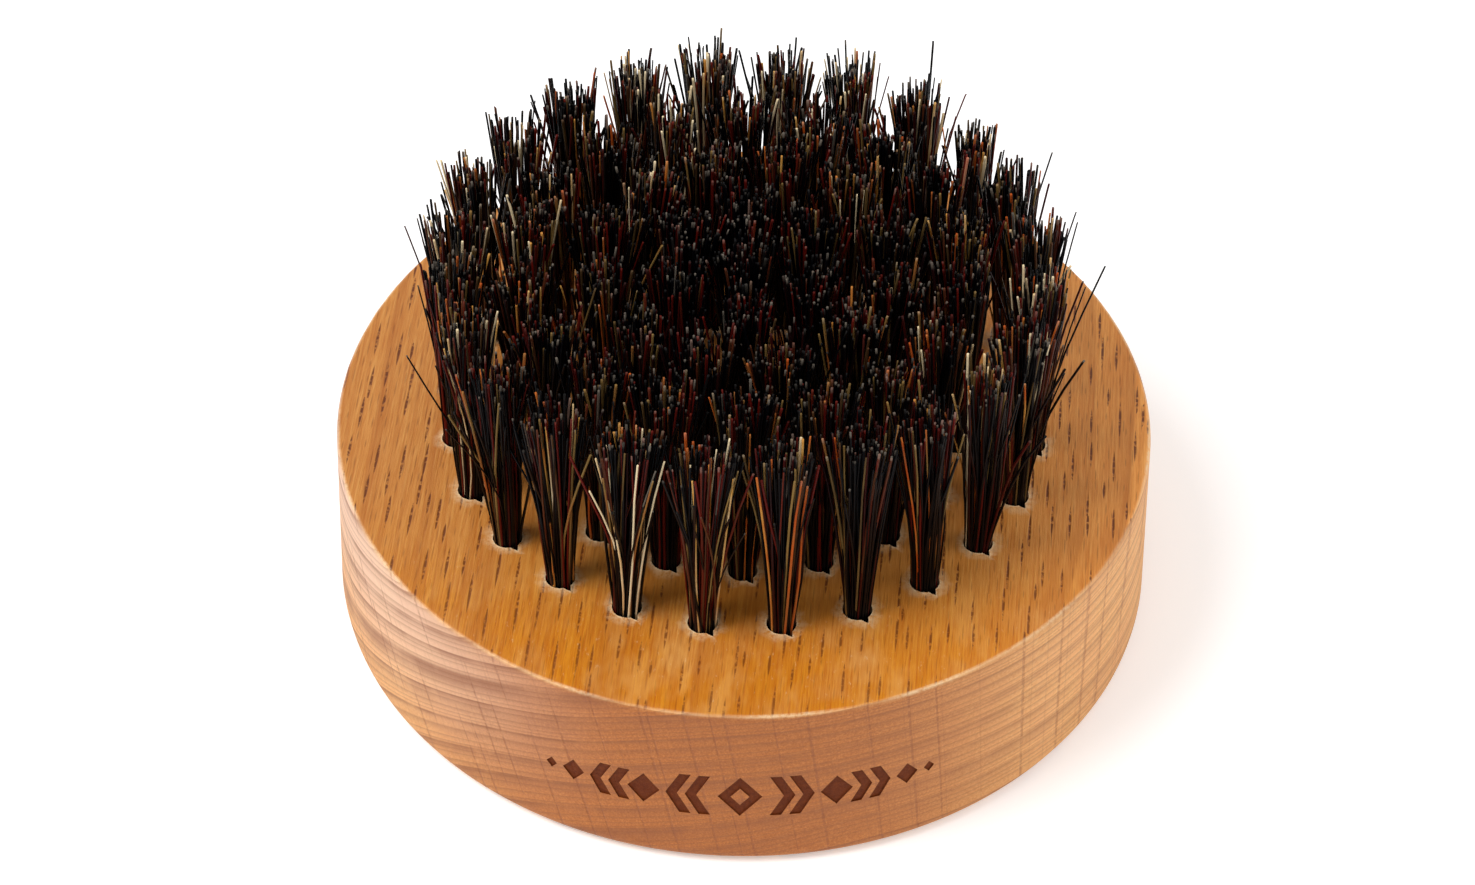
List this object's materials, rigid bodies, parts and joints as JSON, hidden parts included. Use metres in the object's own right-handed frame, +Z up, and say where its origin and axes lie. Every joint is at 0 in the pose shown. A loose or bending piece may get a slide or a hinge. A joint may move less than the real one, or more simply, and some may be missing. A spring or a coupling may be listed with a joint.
{
  "type": "beard brush",
  "caption": "Round palm-held beard brush: a turned beech puck with boar-bristle tufts stapled into rings of drilled blind holes.",
  "frame": {"origin": "centre of the flat back", "axes": "+Z up through the bristles, -Y towards the ornamented side"},
  "size_m": [0.071, 0.071, 0.038],
  "materials": {
    "beech": "thin satin lacquer",
    "boar_bristle": "glossy natural hair, black with brown, amber and cream strands",
    "anchor_wire": "galvanised flat wire"
  },
  "bodies": {
    "root": {"anchor_staples": "anchor_wire", "tuft_centre": "boar_bristle", "tuft_outer_01": "boar_bristle", "tuft_outer_02": "boar_bristle", "tuft_outer_03": "boar_bristle", "tuft_outer_04": "boar_bristle", "tuft_outer_05": "boar_bristle", "tuft_outer_06": "boar_bristle", "tuft_outer_07": "boar_bristle", "tuft_outer_08": "boar_bristle", "tuft_outer_09": "boar_bristle", "tuft_outer_10": "boar_bristle", "tuft_outer_11": "boar_bristle", "tuft_outer_12": "boar_bristle", "tuft_outer_13": "boar_bristle", "tuft_outer_14": "boar_bristle", "tuft_outer_15": "boar_bristle", "tuft_outer_16": "boar_bristle", "tuft_outer_17": "boar_bristle", "tuft_outer_18": "boar_bristle", "tuft_outer_19": "boar_bristle", "tuft_outer_20": "boar_bristle", "tuft_outer_21": "boar_bristle", "tuft_outer_22": "boar_bristle", "tuft_outer_23": "boar_bristle", "tuft_outer_24": "boar_bristle", "tuft_second_01": "boar_bristle", "tuft_second_02": "boar_bristle", "tuft_second_03": "boar_bristle", "tuft_second_04": "boar_bristle", "tuft_second_05": "boar_bristle", "tuft_second_06": "boar_bristle", "tuft_second_07": "boar_bristle", "tuft_second_08": "boar_bristle", "tuft_second_09": "boar_bristle", "tuft_second_10": "boar_bristle", "tuft_second_11": "boar_bristle", "tuft_second_12": "boar_bristle", "tuft_third_01": "boar_bristle", "tuft_third_02": "boar_bristle", "tuft_third_03": "boar_bristle", "tuft_third_04": "boar_bristle", "tuft_third_05": "boar_bristle", "tuft_third_06": "boar_bristle", "tuft_third_07": "boar_bristle", "tuft_third_08": "boar_bristle", "tuft_third_09": "boar_bristle", "tuft_third_10": "boar_bristle", "tuft_third_11": "boar_bristle", "tuft_third_12": "boar_bristle", "tuft_third_13": "boar_bristle", "tuft_third_14": "boar_bristle", "tuft_third_15": "boar_bristle", "tuft_third_16": "boar_bristle", "tuft_third_17": "boar_bristle", "tuft_third_18": "boar_bristle", "tufts_inner_ring": "boar_bristle", "wooden_body": "beech"}
  },
  "joints": []
}
